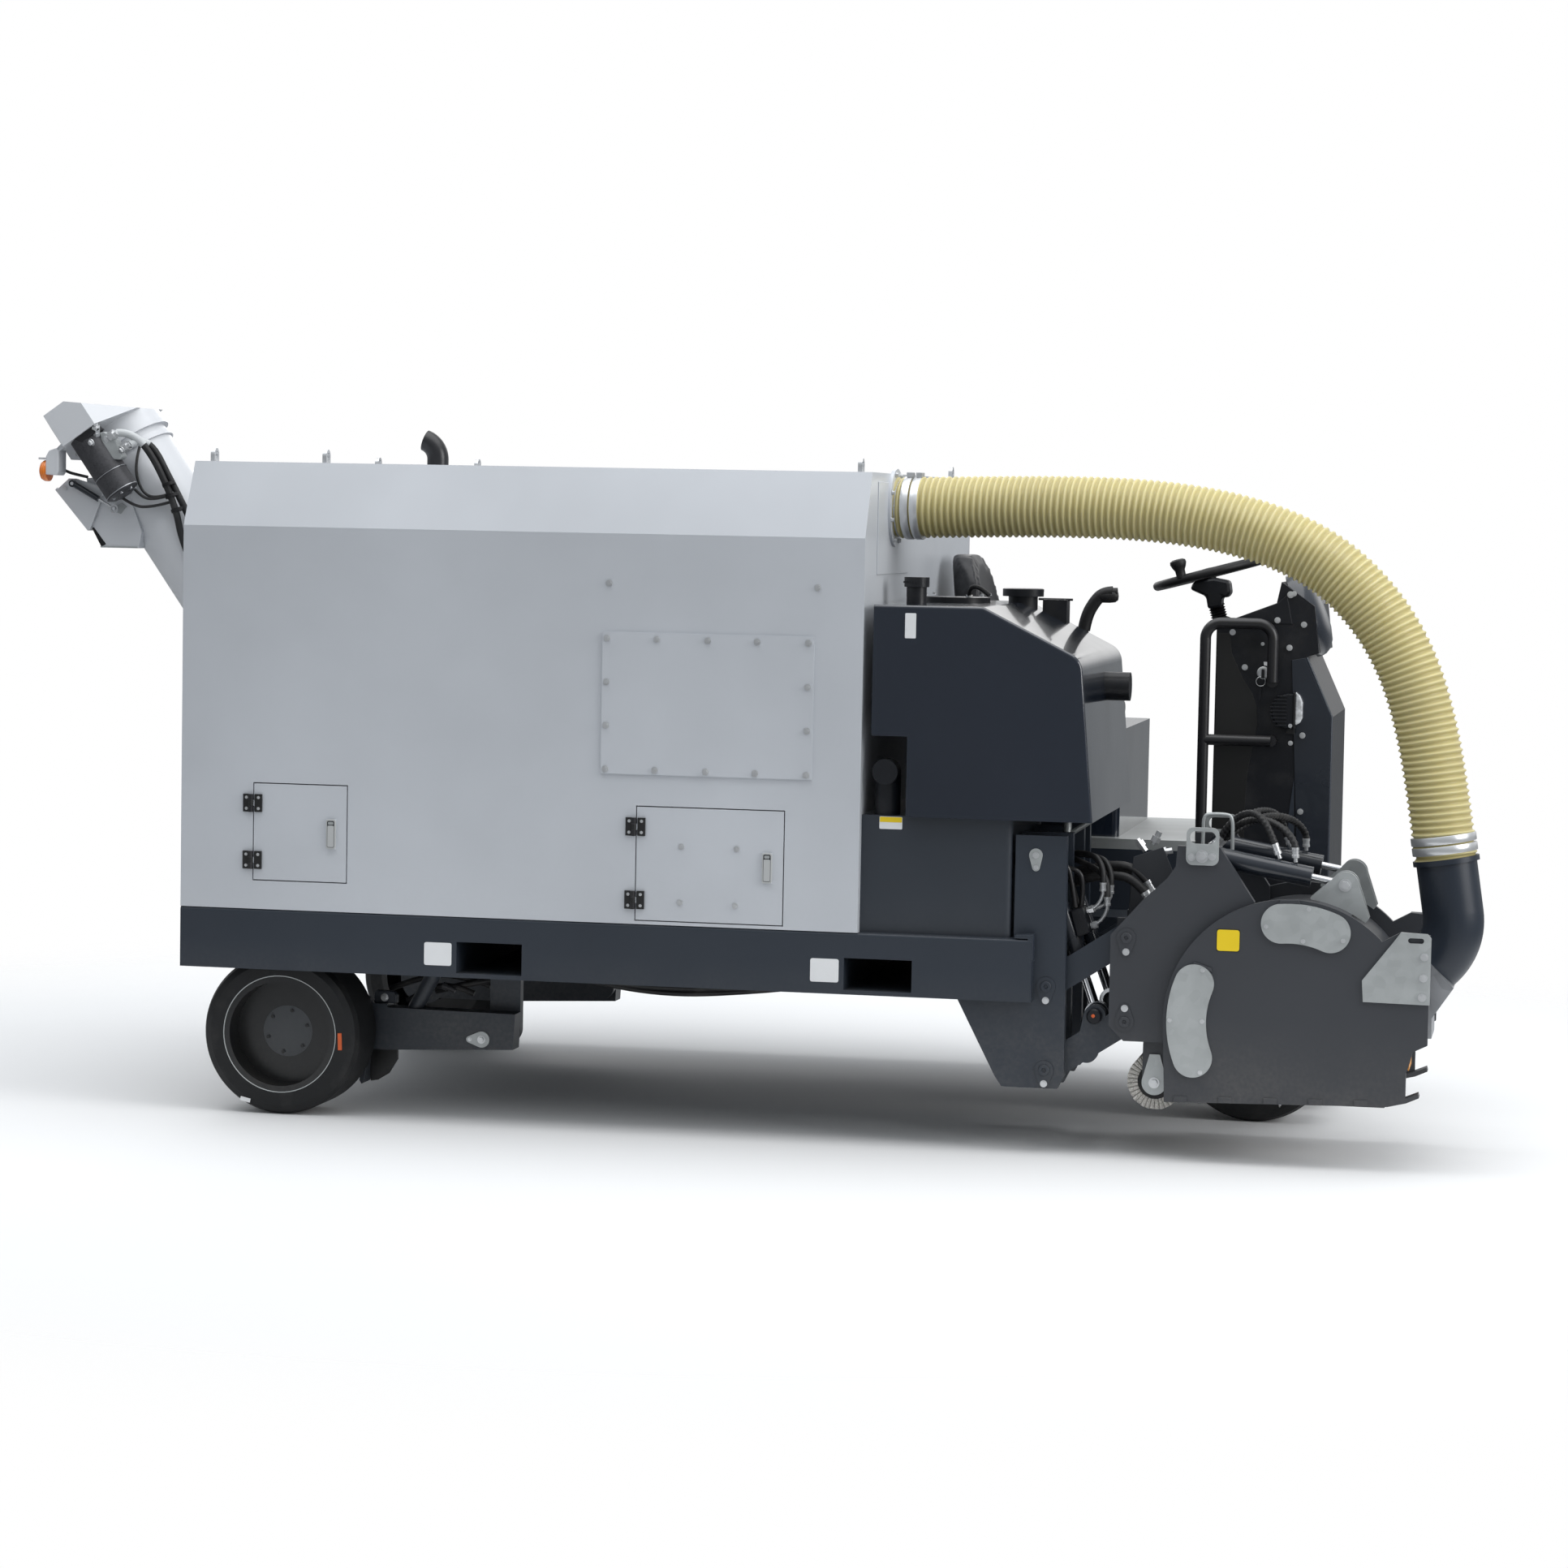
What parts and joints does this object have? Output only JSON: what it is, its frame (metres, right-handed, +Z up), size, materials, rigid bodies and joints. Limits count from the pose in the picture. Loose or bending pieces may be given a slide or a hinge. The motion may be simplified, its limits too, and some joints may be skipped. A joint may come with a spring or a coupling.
{
  "type": "compact cold planer with side-mounted milling head",
  "caption": "Wheeled cold planer: dust collector body with rear auger, side milling head on parallel links, suction hose, tank hood and operator's platform.",
  "frame": {"origin": "on the ground under the middle of the machine's overall length and width", "axes": "+X forwards to the milling head, +Y to the machine's left, +Z up"},
  "size_m": [4.3535, 1.8345, 2.0168],
  "materials": {
    "sheet_white": "semi-gloss powder coat",
    "frame_slate": "satin",
    "hood_slate": "gloss",
    "head_anthracite": "satin",
    "galvanised": "galvanised",
    "cast_dark": "rough",
    "drum_steel": "worn",
    "roller_rubber": "matt",
    "cylinder_black": "gloss",
    "rod_chrome": "polished",
    "eye_steel": "zinc plated",
    "black_steel": "satin",
    "black_plastic": "matt",
    "step_steel": "galvanised",
    "seat_vinyl": "matt vinyl",
    "hose_cream": "ribbed, translucent",
    "amber": "clear amber",
    "tyre_black": "solid rubber",
    "rim_dark": "satin"
  },
  "bodies": {
    "chassis": {"deck_plate": "frame_slate", "side_rails": "frame_slate", "cross_members": "frame_slate", "fork_pockets": "frame_slate", "side_walls": "sheet_white", "end_walls": "sheet_white", "roof_panel": "sheet_white", "hose_flange": "sheet_white", "access_panel": "sheet_white", "door_hinges": "black_steel", "lifting_eyes": "eye_steel", "exhaust_pipe": "black_steel", "engine_block": "cast_dark", "lower_tank": "hood_slate", "tank_hood": "hood_slate", "tank_fittings": "black_steel", "front_subframe": "frame_slate", "platform": "step_steel", "console_tower": "black_plastic", "hand_controls": "black_plastic", "seat_base": "hood_slate", "seat": "seat_vinyl", "grab_rail": "black_steel", "work_light": "black_plastic", "link_columns": "frame_slate", "auger_tube": "sheet_white", "drive_case": "sheet_white", "auger_motor": "cast_dark", "beacon": "amber", "discharge_spout": "sheet_white", "rear_arms": "frame_slate"},
    "rear_door": {"rear_door": "sheet_white"},
    "front_door": {"front_door": "sheet_white"},
    "steering_wheel": {"steering_wheel": "black_plastic"},
    "lower_links": {"lower_links": "frame_slate"},
    "upper_links": {"upper_links": "frame_slate"},
    "lift_barrels": {"lift_barrels": "cylinder_black"},
    "lift_rods": {"lift_rods": "rod_chrome"},
    "head": {"head_frame": "head_anthracite", "drum_hood": "head_anthracite", "suction_mouth": "galvanised", "suction_elbow": "head_anthracite", "head_lugs": "galvanised"},
    "milling_drum": {"milling_drum": "drum_steel"},
    "rear_roller": {"rear_roller": "roller_rubber"},
    "skids": {"skid_plates": "head_anthracite", "slot_covers": "galvanised"},
    "tilt_barrels": {"tilt_barrels": "cylinder_black"},
    "tilt_rods": {"tilt_rods": "rod_chrome"},
    "hose": {"suction_hose": "hose_cream"},
    "spout_flap": {"spout_flap": "sheet_white"},
    "strut_barrel": {"strut_barrel": "cylinder_black"},
    "strut_rod": {"strut_rod": "rod_chrome"},
    "rear_wheel_near": {"rear_tyre_near": "tyre_black", "rear_rim_near": "rim_dark"},
    "rear_wheel_far": {"rear_tyre_far": "tyre_black", "rear_rim_far": "rim_dark"},
    "front_leg": {"front_leg": "frame_slate"},
    "front_wheels": {"front_tyres": "tyre_black", "front_rims": "rim_dark"}
  },
  "joints": [
    {"name": "rear_door_hinge", "type": "hinge", "parent": "chassis", "child": "rear_door", "pos_m": [-1.222, -0.9175, 0.806], "axis": [0, 0, -1], "range_deg": [0, 110]},
    {"name": "front_door_hinge", "type": "hinge", "parent": "chassis", "child": "front_door", "pos_m": [-0.118, -0.9175, 0.756], "axis": [0, 0, -1], "range_deg": [0, 110]},
    {"name": "steering_wheel_spin", "type": "hinge", "parent": "chassis", "child": "steering_wheel", "pos_m": [1.31, 0.44, 1.568], "axis": [-0.2689, 0, 0.9632], "continuous": true},
    {"name": "head_lift", "type": "hinge", "parent": "chassis", "child": "lower_links", "pos_m": [1.026, -0.61, 0.231], "axis": [0, -1, 0], "range_deg": [-26, 8]},
    {"name": "upper_link_swing", "type": "hinge", "parent": "chassis", "child": "upper_links", "pos_m": [1.026, -0.61, 0.459], "axis": [0, -1, 0], "range_deg": [-26.5, 8.5]},
    {"name": "head_level", "type": "hinge", "parent": "lower_links", "child": "head", "pos_m": [1.241, -0.61, 0.372], "axis": [0, 1, 0], "range_deg": [-26.5, 8.5]},
    {"name": "lift_barrel_swing", "type": "hinge", "parent": "chassis", "child": "lift_barrels", "pos_m": [0.994, -0.61, 0.818], "axis": [0, -1, 0], "range_deg": [-1.6, 3.8]},
    {"name": "lift_rod_slide", "type": "slide", "parent": "lift_barrels", "child": "lift_rods", "axis": [0.3469, 0, -0.9379], "range_m": [-0.03039, 0.08904]},
    {"name": "drum_spin", "type": "hinge", "parent": "head", "child": "milling_drum", "pos_m": [1.683, -0.61, 0.387], "axis": [0, 1, 0], "continuous": true},
    {"name": "rear_roller_spin", "type": "hinge", "parent": "head", "child": "rear_roller", "pos_m": [1.323, -0.61, 0.207], "axis": [0, 1, 0], "continuous": true},
    {"name": "skid_tilt", "type": "hinge", "parent": "head", "child": "skids", "pos_m": [1.683, -0.61, 0.387], "axis": [0, 1, 0], "range_deg": [-4, 4]},
    {"name": "tilt_barrel_swing", "type": "hinge", "parent": "head", "child": "tilt_barrels", "pos_m": [1.44, -0.61, 0.828], "axis": [0, -1, 0], "range_deg": [-1.04, 1.04]},
    {"name": "tilt_rod_slide", "type": "slide", "parent": "tilt_barrels", "child": "tilt_rods", "axis": [0.9843, 0, -0.1766], "range_m": [-0.02994, 0.02994]},
    {"name": "hose_end_shift", "type": "slide", "parent": "chassis", "child": "hose", "axis": [0.3462, 0, -0.9381], "range_m": [-0.04112, 0.12119], "deforming": ["suction_hose"]},
    {"name": "spout_flap_swing", "type": "hinge", "parent": "chassis", "child": "spout_flap", "pos_m": [-1.981, 0, 1.75], "axis": [0, 1, 0], "range_deg": [0, 30]},
    {"name": "strut_barrel_swing", "type": "hinge", "parent": "spout_flap", "child": "strut_barrel", "pos_m": [-2.065, 0, 1.773], "axis": [0, 1, 0], "range_deg": [-14.27, 0.87]},
    {"name": "strut_rod_slide", "type": "slide", "parent": "strut_barrel", "child": "strut_rod", "axis": [0.8781, 0, -0.4784], "range_m": [-0.00132, 0.00781]},
    {"name": "rear_wheel_near_spin", "type": "hinge", "parent": "chassis", "child": "rear_wheel_near", "pos_m": [-1.154, -0.7485, 0.2285], "axis": [0, 1, 0], "continuous": true},
    {"name": "rear_wheel_far_spin", "type": "hinge", "parent": "chassis", "child": "rear_wheel_far", "pos_m": [-1.154, 0.7485, 0.2285], "axis": [0, 1, 0], "continuous": true},
    {"name": "front_leg_steer", "type": "hinge", "parent": "chassis", "child": "front_leg", "pos_m": [1.53, 0.15, 0.5], "axis": [0, 0, 1], "range_deg": [-60, 60]},
    {"name": "front_wheels_spin", "type": "hinge", "parent": "front_leg", "child": "front_wheels", "pos_m": [1.53, 0.15, 0.2285], "axis": [0, 1, 0], "continuous": true}
  ],
  "couplings": [
    {"joint": "upper_link_swing", "follows": "head_lift", "ratio": 1},
    {"joint": "head_level", "follows": "head_lift", "ratio": 1},
    {"joint": "lift_barrel_swing", "follows": "head_lift", "ratio": -0.12262},
    {"joint": "lift_rod_slide", "follows": "head_lift", "m_per_rad": -0.1867},
    {"joint": "hose_end_shift", "follows": "head_lift", "m_per_rad": -0.25486},
    {"joint": "tilt_barrel_swing", "follows": "skid_tilt", "ratio": -0.1755},
    {"joint": "tilt_rod_slide", "follows": "skid_tilt", "m_per_rad": 0.39104},
    {"joint": "strut_barrel_swing", "follows": "spout_flap_swing", "ratio": -0.44653},
    {"joint": "strut_rod_slide", "follows": "spout_flap_swing", "m_per_rad": 0.01238}
  ]
}
